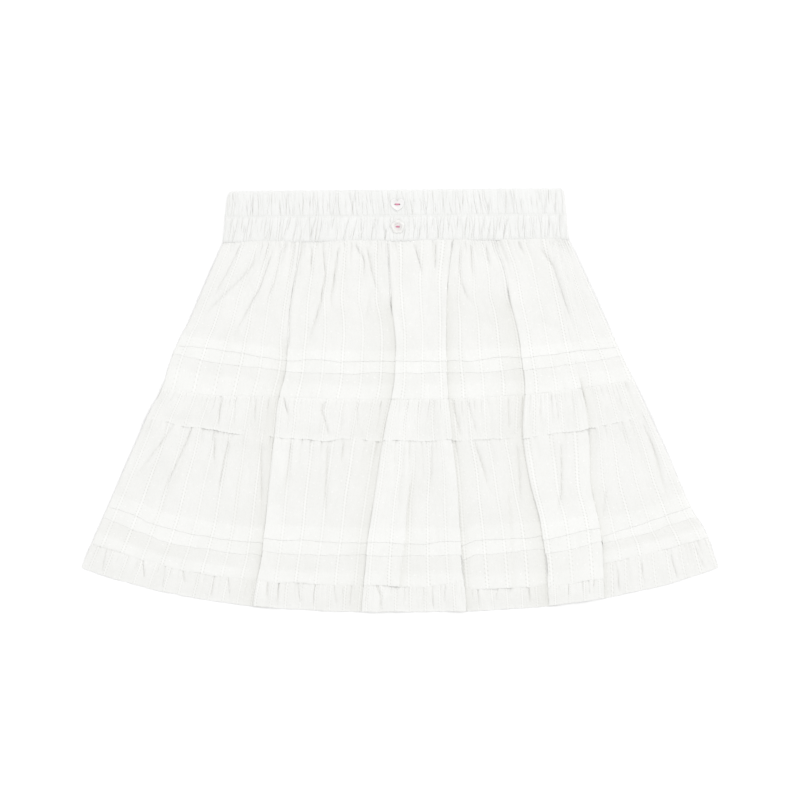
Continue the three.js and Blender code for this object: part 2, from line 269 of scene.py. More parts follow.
def keep_length(base, z, sway):
    """Draws the columns of each section together where the cloth rises and falls, so that the cloth
    keeps its width, and lets the grain sway a little from side to side."""
    x = base["x"].copy()
    for k in range(len(SECTION_DROP)):
        cols = np.flatnonzero(np.abs(base["section"][0] - k) < 0.01)
        a, b = cols[0] - (k > 0), cols[-1] + (k < len(SECTION_DROP) - 1)
        span = slice(a, b + 1)
        flat = np.diff(base["x"][:, span], axis=1)
        rise = np.diff(z[:, span], axis=1)
        slack = 1.12 * flat
        run = np.sqrt(np.maximum(slack ** 2 - rise ** 2, (0.22 * flat) ** 2))
        run *= flat.sum(1, keepdims=True) / run.sum(1, keepdims=True)
        placed = base["x"][:, a:a + 1] + np.cumsum(run, 1)
        x[:, a + 1:b + 1] = 0.55 * placed + 0.45 * base["x"][:, a + 1:b + 1]
        f = (x[:, span] - x[:, a:a + 1]) / (x[:, b:b + 1] - x[:, a:a + 1])
        x[:, span] += sway[:, span] * np.clip(5 * f * (1 - f), 0, 1)
    return x


def cloth_across(base):
    """Distance along the cloth from the left side seam, read on the lowest row."""
    step = np.hypot(np.diff(base["x"][-1]), np.diff(base["z"][-1]))
    return np.concatenate([[0], np.cumsum(step)])


def back_lift(depth):
    """How much higher the front lies where the back has its flounce."""
    past = smooth(FLOUNCE_EDGE + 1, FLOUNCE_EDGE + 14, depth)
    return 1.1 * smooth(UPPER_DEPTH - 8, UPPER_DEPTH, depth) * (1 - past)


# ---------------------------------------------------------------- creases
def gathers(rng, across, depth, width, seam, pitch, reach, deep, wide, spread=1.6, sign=1):
    """Small folds that start at a seam: sharp troughs, each with a steeper side, that fade downwards.
    width is how many millimetres of the plan one millimetre of cloth takes up at each depth."""
    h = np.zeros_like(across * depth)
    run = (depth - seam) * sign
    at = across.min() + pitch * rng.uniform(0.2, 0.9)
    while at < across.max():
        far = rng.random() ** 2.3
        length = reach[0] + (reach[1] - reach[0]) * far
        low = deep[0] + (deep[1] - deep[0]) * (0.35 * rng.random() + 0.65 * far)
        w = wide[0] + (wide[1] - wide[0]) * (0.4 * rng.random() + 0.6 * far)
        lean = rng.uniform(0.55, 1.8)
        slant = rng.normal(0, 0.05)
        wobble = rng.normal(0, 0.7)
        phase = any_phase(rng)
        t = np.clip(run / length, 0, 1)
        fade = (1 - t) ** 1.4 * smooth(-2, 3, run)
        centre = at + slant * run + wobble * np.sin(run / 14 + phase)
        s = (across - centre) * width
        near = w * (1 + spread * t)
        side = np.where(s > 0, near * lean, near / lean)
        h -= low * fade * np.exp(-np.abs(s / side) ** 1.15)
        at += pitch * rng.uniform(0.45, 1.75)
    return h


def beside(x, y, path):
    """Distance from a path of (x, depth) points, on which side, and how far along it."""
    pts = [(px, SEAM_Y - pd) for px, pd in path]
    lengths = [math.dist(a, b) for a, b in zip(pts, pts[1:])]
    total = sum(lengths)
    best = np.full(x.shape, 1e9)
    signed = np.zeros(x.shape)
    along = np.zeros(x.shape)
    gone = 0
    for (a, b), length in zip(zip(pts, pts[1:]), lengths):
        ux, uy = (b[0] - a[0]) / length, (b[1] - a[1]) / length
        rx, ry = x - a[0], y - a[1]
        t = np.clip(rx * ux + ry * uy, 0, length)
        dx, dy = rx - t * ux, ry - t * uy
        dist = np.hypot(dx, dy)
        closer = dist < best
        best = np.where(closer, dist, best)
        signed = np.where(closer, np.sign(ux * ry - uy * rx) * dist, signed)
        along = np.where(closer, (gone + t) / total, along)
        gone += length
    return best, signed, along


def crease(x, y, path, deep, wide, lean=1.0, rise=0.35, ends=(0.12, 0.45)):
    """One trough along a path, with a soft ridge along one side."""
    best, signed, along = beside(x, y, path)
    taper = smooth(-0.02, ends[0], along) * (1 - smooth(1 - ends[1], 1.02, along))
    side = 0.34 * np.where(signed > 0, wide * lean, wide / lean)
    trough = 0.95 * np.exp(-np.abs(best / side) ** 1.1)
    ridge = np.exp(-(((signed - 1.2 * wide) / (0.9 * wide)) ** 2))
    return deep * taper * (rise * ridge - trough)


def step_fold(x, y, path, high, reach):
    """A soft fold that lies over on its right: high at its edge, and sinking away to the left. It also
    gives painted shade on the low cloth just right of its edge.
    """
    best, signed, along = beside(x, y, path)
    taper = smooth(0.0, 0.3, along)
    left = np.exp(-best / reach)
    right = np.exp(-(best / 0.8) ** 2)
    # Painted shade at the foot of the fold's edge.
    shade = 0.75 * min(1.0, high) * taper * np.exp(-best / (0.45 * reach)) * (signed >= 0)
    return high * taper * np.where(signed < 0, left, right), shade


def cavity(h):
    """How far each point lies below the cloth beside it, 0 to 1."""
    total = 0
    pad = np.pad(h, ((0, 0), (9, 9)), mode="edge")
    weights = [math.exp(-(k / 4.5) ** 2) for k in range(-9, 10)]
    for k, weight in enumerate(weights):
        total = total + weight * pad[:, k:k + h.shape[1]]
    return np.clip((total / sum(weights) - h - 0.05) / 0.8, 0, 1)


def rolling(rng, x, y, waves):
    """Low unevenness all over: a few long waves in different directions."""
    h = np.zeros_like(x)
    for length, height in waves:
        for _ in range(3):
            turn = rng.uniform(-0.7, 0.7)
            phase = any_phase(rng)
            h += height * np.sin((x * math.cos(turn) + y * math.sin(turn)) * TURN / length + phase)
    return h / 3 ** 0.5


# ---------------------------------------------------------------- meshes
def place(name, data):
    piece = bpy.data.objects.new(name, data)
    bpy.context.scene.collection.objects.link(piece)
    return piece


def crisp_rim(mesh, rows, cols):
    """Marks the rim of each side of a sheet as sharp, so that its shading stays flat to the edge."""
    rim = np.zeros((rows, cols), bool)
    rim[[0, -1]] = True
    rim[:, [0, -1]] = True
    rim = np.tile(rim.ravel(), 2)
    ends = np.zeros(len(mesh.edges) * 2, np.int32)
    mesh.edges.foreach_get("vertices", ends)
    a, b = ends.reshape(-1, 2).T
    one_side = (a < rows * cols) == (b < rows * cols)
    marks = mesh.attributes.new("sharp_edge", "BOOLEAN", "EDGE")
    marks.data.foreach_set("value", rim[a] & rim[b] & one_side)


def closed_faces(rows, cols):
    """The faces of a closed form between two grids of points, the upper grid's points first."""
    n = rows * cols
    idx = np.arange(n).reshape(rows, cols)

    def quads(a, b, c, d):
        return np.stack([a.ravel(), b.ravel(), c.ravel(), d.ravel()], 1)

    top = quads(idx[:-1, :-1], idx[1:, :-1], idx[1:, 1:], idx[:-1, 1:])
    return np.concatenate([
        top,
        top[:, ::-1] + n,
        quads(idx[:-1, 0], idx[:-1, 0] + n, idx[1:, 0] + n, idx[1:, 0]),
        quads(idx[:-1, -1], idx[1:, -1], idx[1:, -1] + n, idx[:-1, -1] + n),
        quads(idx[0, :-1], idx[0, 1:], idx[0, 1:] + n, idx[0, :-1] + n),
        quads(idx[-1, :-1], idx[-1, :-1] + n, idx[-1, 1:] + n, idx[-1, 1:]),
    ])


def cloth_piece(name, upper, under, uv, tone, painted_shade, material, crisp):
    """A closed piece of cloth between two grids of points, in millimetres."""
    rows, cols = upper.shape[:2]
    faces = closed_faces(rows, cols)
    corners = faces.ravel()
    verts = np.concatenate([upper.reshape(-1, 3), under.reshape(-1, 3)])
    mesh = bpy.data.meshes.new(name)
    mesh.vertices.add(len(verts))
    mesh.vertices.foreach_set("co", (verts * MM).astype(np.float32).ravel())
    mesh.loops.add(faces.size)
    mesh.loops.foreach_set("vertex_index", corners.astype(np.int32))
    mesh.polygons.add(len(faces))
    mesh.polygons.foreach_set("loop_start", (np.arange(len(faces)) * 4).astype(np.int32))
    mesh.update(calc_edges=True)
    mesh.polygons.foreach_set("use_smooth", np.ones(len(faces), bool))
    if crisp:
        crisp_rim(mesh, rows, cols)
    layer = mesh.uv_layers.new(name="cloth")
    flat = uv.reshape(-1, 2)[corners % (rows * cols)]
    layer.data.foreach_set("uv", flat.astype(np.float32).ravel())
    # The second mask is painted shade, kept on the points for the material.
    for key, values in (("layers", tone), ("painted_shade", painted_shade)):
        marks = mesh.attributes.new(key, "FLOAT", "POINT")
        marks.data.foreach_set("value", np.tile(values.ravel(), 2).astype(np.float32))
    mesh.validate()
    piece = place(name, mesh)
    mesh.materials.append(material)
    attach(piece, "root")
    return piece


def shell(name, points, uv, tone, painted_shade):
    """A sheet of cloth with its middle on a grid of points."""
    normal = np.cross(np.gradient(points, axis=0), np.gradient(points, axis=1))
    normal /= np.maximum(np.linalg.norm(normal, axis=2, keepdims=True), 1e-9)
    out = normal * (CLOTH / 2)
    return cloth_piece(name, points + out, points - out, uv, tone, painted_shade, cotton, True)


def cloth_uv(across, depth, stand):
    """Where each point lies in the cloth: how far along it and how far down it."""
    down = np.concatenate([[0], np.cumsum(np.hypot(np.diff(depth), np.diff(stand)))]) + depth[0]
    return np.stack(np.broadcast_arrays(across[None, :], down[:, None]), -1)


# ---------------------------------------------------------------- materials
class Graph:
    def __init__(self, name):
        self.material = bpy.data.materials.new(name)
        self.material.use_nodes = True
        self.nodes = self.material.node_tree.nodes
        self.links = self.material.node_tree.links
        self.shader = self.nodes["Principled BSDF"]

    def put(self, socket, value):
        if isinstance(value, bpy.types.NodeSocket):
            self.links.new(value, socket)
        else:
            socket.default_value = value

    def math(self, op, *values):
        node = self.nodes.new("ShaderNodeMath")
        node.operation = op
        for socket, value in zip(node.inputs, values):
            self.put(socket, value)
        return node.outputs[0]

    def times(self, a, b):
        return self.math("MULTIPLY", a, b)

    def plus(self, a, b):
        return self.math("ADD", a, b)

    def minus(self, a, b):
        return self.math("SUBTRACT", a, b)

    def over(self, a, b):
        return self.math("DIVIDE", a, b)

    def wave(self, value, length):
        return self.math("SINE", self.times(value, 2 * math.pi / length))

    def distance(self, a, b):
        return self.math("SQRT", self.plus(self.times(a, a), self.times(b, b)))

    def attribute(self, name):
        node = self.nodes.new("ShaderNodeAttribute")
        node.attribute_name = name
        return node.outputs["Fac"]

    def step(self, value, low, high, start=0.0, end=1.0):
        node = self.nodes.new("ShaderNodeMapRange")
        node.interpolation_type = "SMOOTHSTEP"
        self.put(node.inputs["Value"], value)
        node.inputs["From Min"].default_value = low
        node.inputs["From Max"].default_value = high
        node.inputs["To Min"].default_value = start
        node.inputs["To Max"].default_value = end
        return node.outputs["Result"]

    def mix(self, amount, a, b):
        node = self.nodes.new("ShaderNodeMix")
        node.data_type = "RGBA"
        self.put(node.inputs[0], amount)
        self.put(node.inputs[6], a)
        self.put(node.inputs[7], b)
        return node.outputs[2]

    def noise(self, vector, scale, detail=2.0):
        node = self.nodes.new("ShaderNodeTexNoise")
        self.links.new(vector, node.inputs["Vector"])
        node.inputs["Scale"].default_value = scale
        node.inputs["Detail"].default_value = detail
        return node.outputs["Fac"]

    def vector(self, x, y, z=0.0):
        node = self.nodes.new("ShaderNodeCombineXYZ")
        for socket, value in zip(node.inputs, (x, y, z)):
            self.put(socket, value)
        return node.outputs[0]

    def bump(self, height, distance, strength=1.0):
        node = self.nodes.new("ShaderNodeBump")
        node.inputs["Strength"].default_value = strength
        node.inputs["Distance"].default_value = distance
        self.links.new(height, node.inputs["Height"])
        self.links.new(node.outputs[0], self.shader.inputs["Normal"])

    def set(self, **values):
        for key, value in values.items():
            self.put(self.shader.inputs[key.replace("_", " ")], value)


STRIPE_PITCH = 15.0
HOLE_PITCH = 2.5
DOT_PITCH = 9.6
YARN_PITCH = 0.4
STITCH_PITCH = 3.4
SINGLE = (0.808, 0.807, 0.791, 1.0)
LAYERED = (0.833, 0.834, 0.818, 1.0)
# Painted shade: an olive darkening for creases, troughs and the cloth beside pleats. The band's stitch
# dashes take the same colour.
SHADE_AND_STITCH = (0.61, 0.605, 0.54, 1.0)
PALE = (0.93, 0.93, 0.915, 1.0)
# Painted shade inside the openwork holes.
HOLE_SHADE = (0.42, 0.42, 0.37, 1.0)


def dobby_cotton(name, single, layered, openwork=1.0, painted_shade_mix=0.42, stitches=()):
    """White cotton with openwork stripes down it and small woven dots between them."""
    g = Graph(name)
    coords = g.nodes.new("ShaderNodeUVMap")
    coords.uv_map = "cloth"
    split = g.nodes.new("ShaderNodeSeparateXYZ")
    g.links.new(coords.outputs[0], split.inputs[0])
    u, v = split.outputs[0], split.outputs[1]
    cell = g.over(u, STRIPE_PITCH)
    number = g.math("FLOOR", cell)
    off = g.times(g.minus(g.math("FRACT", cell), 0.5), STRIPE_PITCH)
    far = g.math("ABSOLUTE", off)
    odd = g.math("FLOORED_MODULO", number, 2.0)
    patchy = g.noise(g.vector(g.times(number, 7.3), g.times(v, 0.035)), 1.0, 1.0)
    clear = g.step(patchy, 0.38, 0.62, 0.7, 1.0)
    strong = g.times(g.math("MULTIPLY_ADD", odd, 0.25, 0.75), openwork)
    bead = g.math("MULTIPLY_ADD", g.wave(v, HOLE_PITCH), 0.3, 0.7)
    cord = g.times(g.times(g.step(far, 0.25, 0.7, 1.0, 0.0), bead), strong)
    # A row of holes on each side of the cord. The holes are real openwork; their dark colour is painted
    # shade inside them.
    right = g.math("GREATER_THAN", off, 0.0)
    hx = g.over(g.minus(far, 1.15), 0.5)
    along = g.math("FRACT", g.math("MULTIPLY_ADD", right, 0.5, g.over(v, HOLE_PITCH)))
    hv = g.times(g.minus(along, 0.5), HOLE_PITCH / 0.62)
    hole = g.times(g.step(g.distance(hx, hv), 0.5, 1.1, 1.0, 0.0), g.times(strong, clear))
    # Dots, staggered in two columns between the stripes.
    shift = g.plus(g.times(right, 0.5), g.times(number, 0.37))
    down = g.math("FRACT", g.plus(g.over(v, DOT_PITCH), shift))
    dx = g.over(g.minus(far, 4.6), 0.62)
    dv = g.times(g.minus(down, 0.5), DOT_PITCH / 0.5)
    faint = g.noise(g.vector(g.times(u, 0.11), g.times(v, 0.11), 3.0), 1.0, 1.0)
    seen = g.times(g.step(faint, 0.35, 0.65, 0.15, 0.9), openwork)
    dot = g.times(g.step(g.distance(dx, dv), 0.6, 1.2, 1.0, 0.0), seen)
    # Uneven yarns both ways, and slow changes of tone.
    slub = g.noise(g.vector(g.times(u, 2.2), g.times(v, 0.05)), 1.0, 3.0)
    weft = g.noise(g.vector(g.times(u, 0.06), g.times(v, 2.0)), 1.0, 2.0)
    cloudy = g.step(g.noise(g.vector(u, v), 0.03, 3.0), 0.36, 0.66)
    crumple = g.noise(g.vector(u, g.times(v, 0.6), 5.0), 0.16, 2.0)
    shade = g.math("MULTIPLY_ADD", cloudy, 0.14, g.times(slub, 0.12))
    shade = g.math("MULTIPLY_ADD", g.step(crumple, 0.4, 0.64), 0.06, shade)
    dark = tuple(c * m for c, m in zip(single, (0.86, 0.865, 0.845, 1.0)))
    color = g.mix(g.attribute("layers"), single, layered)
    color = g.mix(shade, color, dark)
    # Painted shade: the olive colour is mixed in by the shade mask stored on the mesh.
    color = g.mix(g.times(g.attribute("painted_shade"), painted_shade_mix), color, SHADE_AND_STITCH)
    color = g.mix(g.times(cord, 0.45), color, PALE)
    color = g.mix(g.times(dot, 0.6), color, PALE)
    color = g.mix(g.times(hole, 0.3), color, HOLE_SHADE)
    for row in stitches:
        near = g.step(g.math("ABSOLUTE", g.minus(v, row)), 0.15, 0.4, 1.0, 0.0)
        dash = g.step(g.wave(u, STITCH_PITCH), -0.1, 0.5)
        color = g.mix(g.times(g.times(near, dash), 0.2), color, SHADE_AND_STITCH)
    thread = g.times(g.wave(u, YARN_PITCH), g.wave(v, YARN_PITCH))
    height = g.times(cord, 0.05)
    raised = ((dot, 0.07), (hole, -0.03), (slub, 0.13), (weft, 0.07), (thread, 0.008), (crumple, 0.9))
    for part, size in raised:
        height = g.math("MULTIPLY_ADD", part, size, height)
    g.bump(height, MM)
    g.set(Base_Color=color, Roughness=0.88, Specular_IOR_Level=0.25, Sheen_Weight=0.12, Sheen_Roughness=0.5)
    return g.material


cotton = dobby_cotton("dobby_cotton", SINGLE, LAYERED)
band_cotton = dobby_cotton("band_cotton", (0.806, 0.808, 0.799, 1.0), (0.822, 0.825, 0.816, 1.0),
                           openwork=0.4, painted_shade_mix=0.4, stitches=(-20.0, -18.4, -1.3))


# ---------------------------------------------------------------- rows down a tier
TUCK_HEIGHT = 0.78                             # how much of the table's heights below a tuck stands


def plain(start, end, step):
    count = max(1, int(round((end - start) / step)))
    return [(d, 0.0, 0.0, 0.0) for d in np.linspace(start, end, count + 1)[:-1]]


def tuck(root, edge, over=0.0, rest=0.0, line=1):
    """Rows over a tuck that is folded down: out to its free edge, back under, and on again. Its edge
    lies rest higher where depth is past over, on the tuck below it. Each row is (depth, stand off the
    base, share of the edge's waver, number of extra layers); a share below 0 is of the other waver."""
    half = (root + edge) / 2
    rows = [
        (root - 0.4, 0.0, 0.0, 0.2),
        (root + 0.6, 0.20, 0.0, 0.8),
        (root + 2.2, 0.32, 0.1, 1.0),
        (half, 0.34, 0.4, 1.0),
        (edge - 2.6, 0.32, 0.7, 1.0),
        (edge - 0.7, 0.29, 0.95, 1.0),
        (edge - 0.18, 0.24, 1.0, 1.0),
        (edge, 0.15, 1.0, 1.0),
        (edge - 0.16, 0.07, 1.0, 1.0),
        (edge - 2.0, 0.10, 0.8, 1.0),
        (half, 0.15, 0.4, 1.0),
        (root + 0.9, 0.15, 0.0, 1.0),
        (root + 0.6, 0.08, 0.0, 1.0),
        (root + 0.9, 0.0, 0.0, 1.0),
        (half, 0.0, 0.0, 1.0),
    ]
    out = []
    for d, n, w, t in rows:
        on_next = rest * smooth(over - 1.6, over + 0.4, d) * (n > 0.14 or d > edge - 2.5)
        out.append((d, TUCK_HEIGHT * n + on_next, line * w, t))
    if not rest:
        out += [(edge - 1.0, 0.0, 0.0, 0.8), (edge + 0.4, 0.0, 0.0, 0.0)]
    return out


def waver(rng, across, size):
    """An uneven line, one value for each column."""
    e = np.zeros_like(across)
    for length, part in ((9, 0.16), (17, 0.3), (29, 0.45), (53, 0.7), (97, 0.9)):
        sway = np.sin(across * TURN / length * rng.uniform(0.85, 1.15) + any_phase(rng))
        where = 0.5 + 0.5 * np.sin(across * TURN / length / 3.3 + any_phase(rng))
        e += part * sway * where
    return e * size


SCALLOP_PITCH = 3.2


def front_panel(name, rows, step, relief, seed, full=1.0, edge_wave=0.8, scallop=0.0):
    """A sheet of the front: rows down it, columns about a step apart, and a relief on top of them."""
    rng = np.random.default_rng(seed)
    depth, stand, wave, extra = np.array(rows, float).T
    d = depth[:, None]
    base = front_base(depth, step)
    across = cloth_across(base) * full
    e = waver(rng, across, edge_wave) + scallop * np.abs(np.sin(across * math.pi / SCALLOP_PITCH))
    other = waver(rng, across, edge_wave)
    waved = d + np.abs(wave)[:, None] * np.where(wave[:, None] < 0, other, e)
    h = relief(rng, base, across[None, :], d) * base["free"]
    n = stand[:, None] + h
    sway = np.zeros_like(h)
    for length in (47, 78, 131):
        lean = rng.uniform(-0.02, 0.02)
        phase = any_phase(rng)
        sway += 0.25 * np.sin(d * TURN / length + across[None, :] * lean + phase)
    inside = half_width(d) - np.abs(base["x"] - middle(d))
    base["x"] = keep_length(base, base["z"] + h, sway)
    # The height, never below the back's cloth, and coming down to the ground at the sides and the hem.
    z = FLOOR + back_lift(d) + base["z"] + n * np.cos(base["angle"])
    z = np.maximum(z, 1.15 + 0.4 * back_lift(d) + 0.6 * stand[:, None] - 0.35 * smooth(270, 277, d))
    at_hem = smooth(262, 277, d)
    z = z - (1 - rounded(inside / SIDE_ROUND)) * (FLOOR - 0.9) * (1 - 0.45 * at_hem) - 0.8 * at_hem
    z = z - 0.6 * smooth(274.6, 277.4, d) - 0.35 * (1 - smooth(0, 1.1, inside))
    z = np.maximum(z, GROUND)
    x = base["x"] - n * np.sin(base["angle"])
    y = lay_y(base["x"], waved) - base["y_drop"]
    tone = np.clip(np.maximum(extra[:, None], 0.55 * base["double"]), 0, 1)
    # Painted shade: darker beside pleats and in the troughs of the relief.
    painted_shade = np.clip(0.5 * base["shade"] + 0.5 * cavity(h), 0, 1)
    return shell(name, np.stack([x, y, z], -1), cloth_uv(across, depth, stand), tone, painted_shade)


# Creases: a path of (x, depth) points, how deep and how wide, and how much steeper its right side is.
UPPER_CREASES = [
    ([(-108, 2), (-111, 18), (-120, 29), (-158, 66)], 1.1, 2.6, 1.3),
    ([(-95, 4), (-105, 36), (-122, 65), (-131, 82)], 1.3, 2.6, 0.8),
    ([(-89, 3), (-94, 31), (-102, 52)], 1.0, 2.2, 1.2),
    ([(-73, 2), (-80, 33), (-83, 53), (-83, 98)], 1.4, 2.8, 0.7),
    ([(-66, 3), (-67, 26)], 1.3, 1.8, 1.2),
    ([(-58, 3), (-56, 25), (-59, 46), (-65, 63), (-72, 88)], 1.6, 2.6, 1.4),
    ([(-46, 3), (-49, 29), (-52, 56)], 1.4, 2.3, 0.8),
    ([(-34, 2), (-27, 13), (-27, 29)], 1.3, 2.0, 1.2),
    ([(-25, 3), (-20, 27), (-13, 45)], 1.2, 2.2, 1.3),
    ([(-22, 42), (-27, 62)], 0.8, 2.4, 0.8),
    ([(-8.5, 0), (-7.5, 30), (-4, 62)], 0.8, 1.8, 0.8),
    ([(10, 1), (18, 28)], 1.3, 2.2, 1.3),
    ([(27, 1), (26, 26)], 1.4, 2.0, 0.8),
    ([(45, 3), (44.5, 20), (46, 31), (51, 42), (60, 54)], 1.1, 2.4, 1.3),
    ([(53, 2), (55, 30)], 1.2, 2.0, 0.8),
    ([(89, 0), (92, 9)], 1.4, 2.0, 1.2),
    ([(103, 2), (115, 19), (132, 71)], 1.5, 3.2, 0.8),
    ([(103, 57), (130, 74)], 0.7, 3.6, 1.2),
    ([(64, 2), (68, 22)], 1.2, 2.0, 1.2),
    ([(-120, 2), (-131, 26), (-143, 49)], 0.9, 2.2, 0.8),
]
LOWER_CREASES = [
    ([(-169, 137), (-185, 158), (-202, 181)], 1.1, 3.0, 1.3),
    ([(-155, 139), (-168, 166), (-184, 200)], 1.3, 3.0, 0.8),
    ([(-139, 143), (-140, 172)], 1.1, 2.6, 1.2),
    ([(-127, 147), (-133, 167), (-138, 194)], 1.4, 2.8, 1.3),
    ([(-104, 148), (-104, 215)], 1.3, 3.4, 0.8),
    ([(-81, 148), (-87, 194)], 1.4, 3.0, 1.3),
    ([(-54, 150), (-56, 215)], 1.3, 3.4, 0.8),
    ([(-42, 150), (-44, 168)], 1.2, 2.4, 1.3),
    ([(3, 150), (-2, 206)], 0.9, 3.6, 1.2),
    ([(24, 150), (22, 190)], 1.0, 3.0, 0.8),
    ([(56, 148), (67, 188)], 1.4, 3.0, 1.2),
    ([(88, 150), (91, 206)], 1.0, 3.0, 0.8),
    ([(121, 148), (121, 188), (114, 212)], 1.5, 3.4, 1.3),
    ([(155, 183), (151, 209)], 1.0, 3.0, 0.8),
    ([(166, 140), (170, 156)], 1.0, 2.4, 1.2),
    ([(181, 135), (190, 157), (203, 199)], 1.4, 3.2, 0.8),
]
# Folds that lie over: a path, how high, and how far they sink away to the left.
LOWER_STEPS = [
    ([(10, 160), (6, 193), (3, 223), (0, 250), (-3, 277)], 1.7, 13),
    ([(80, 165), (81, 193), (83, 235), (84, 277)], 0.9, 9),
    ([(-158, 150), (-170, 178), (-185, 205)], 0.5, 8),
    ([(-117, 150), (-122, 180), (-127, 212)], 0.6, 9),
]


def squeeze(depth, reference):
    """How many millimetres of the plan one of the cloth takes up, when it is 1 at the reference."""
    return half_width(depth) / half_width(reference)


def upper_relief(rng, base, across, depth):
    y = lay_y(base["x"], depth)
    narrow = squeeze(depth, UPPER_DEPTH)
    h = gathers(rng, across, depth, narrow, 0, 4.2, (5, 52), (0.6, 1.6), (0.34, 0.8))
    h = h + gathers(rng, across, depth, narrow, 0, 19, (40, 110), (0.4, 1.1), (0.7, 2.0))
    for path, deep, wide, lean in UPPER_CREASES:
        h = h + crease(base["x"], y, path, deep, wide, lean)
    puff = (0.8 * smooth(-3, 0.5, depth) + 0.6 * smooth(0, 10, depth)) * (1 - smooth(20, 92, depth))
    h = h + puff + rolling(rng, base["x"], y, [(64, 0.30), (31, 0.16), (15, 0.06)])
    h = h * (1 - 0.55 * smooth(60, 95, depth))
    return h + gathers(rng, across, depth, narrow, UPPER_DEPTH, 8, (4, 13), (0.15, 0.5), (0.8, 1.6),
                       sign=-1)


def lower_relief(rng, base, across, depth):
    y = lay_y(base["x"], depth)
    narrow = squeeze(depth, HEM_SEAM)
    h = gathers(rng, across, depth, narrow, 147, 7.0, (12, 52), (0.4, 1.2), (0.38, 0.9))
    h = h + gathers(rng, across, depth, narrow, 147, 25, (45, 118), (0.4, 1.0), (0.7, 1.9))
    for path, deep, wide, lean in LOWER_CREASES:
        h = h + crease(base["x"], y, path, deep, wide, lean)
    for path, high, reach in LOWER_STEPS:
        raised, shade = step_fold(base["x"], y, path, high, reach)
        h = h + raised
        base["shade"] = np.maximum(base["shade"], shade)
    # Painted shade on the single-layer band below the lower tuck, a little uneven across it.
    single = smooth(234.5, 236, depth) * (1 - smooth(246, 249, depth))
    uneven = 0.75 + 0.25 * np.sin(across / 23 + 1.3) * np.sin(across / 9.7)
    base["shade"] = np.maximum(base["shade"], 0.3 * single * uneven)
    h = h + 0.7 * smooth(148, 155, depth) * (1 - smooth(170, 225, depth))
    h = h + rolling(rng, base["x"], y, [(70, 0.34), (33, 0.18), (16, 0.06)])
    h = h * (1 - 0.45 * smooth(190, 226, depth)) * smooth(126, 150, depth)
    return h - 0.7 * (1 - smooth(135, 146.5, depth))


upper_rows = (
    plain(-1.5, 3, 1.2) + plain(3, 81.5, 2.9) + tuck(82, 90, 87.6, 0.32) + tuck(87.6, 99, line=-1)
    + plain(100.5, 107, 2.0)
    + [(107.2, 0.0, 0.0, 0.3), (108.4, 0.12, 0.0, 0.7), (111, 0.18, 0.0, 0.8), (115, 0.18, 0.0, 0.8),
       (117.2, 0.1, 0.3, 0.8), (118.3, -0.1, 0.5, 0.8), (118.9, -0.45, 0.5, 0.8)]
)
upper_front = front_panel("upper_tier_cloth", upper_rows, 0.92, upper_relief, 11)

lower_rows = (
    plain(119.5, 146, 5.0) + plain(146, 213.5, 2.9) + tuck(214, 225, 222.4, 0.32)
    + tuck(222.4, 234.8, line=-1) + plain(236.5, 247.5, 2.2)
    + [(248, 0.0, 0.0, 0.3), (249.2, 0.12, 0.0, 0.7), (252, 0.2, 0.0, 0.8), (255, 0.22, 0.6, 0.9),
       (256.6, 0.16, 1.0, 0.9), (257.1, -0.05, 1.0, 0.9)]
)
lower_front = front_panel("lower_tier_cloth", lower_rows, 0.88, lower_relief, 23)


# ---------------------------------------------------------------- the two ruffles
FLOUNCE_FOLDS = [
    ([(-133, 119), (-137, 148)], 1.5, 2.2, 0.8),
    ([(-108, 119), (-109, 141)], 0.9, 1.5, 1.2),
    ([(-122, 119), (-125, 145)], 0.6, 1.4, 0.8),
    ([(-87, 119), (-84, 131)], 2.0, 2.2, 1.2),
    ([(-57, 121), (-58, 128), (-52, 148)], 1.2, 2.2, 0.7),
    ([(-32, 119), (-31, 142)], 0.7, 1.5, 1.2),
    ([(39, 118), (46, 149)], 1.7, 3.2, 1.3),
    ([(52, 121), (58, 146)], 0.9, 1.7, 0.8),
    ([(81, 119), (82, 145)], 1.1, 1.7, 1.2),
    ([(92, 119), (91, 148)], 1.1, 1.7, 0.8),
    ([(103, 119), (107, 143)], 0.7, 2.6, 1.2),
    ([(116, 118), (120, 144)], 1.0, 1.8, 1.2),
    ([(161, 119), (168, 141)], 0.7, 1.8, 0.8),
]
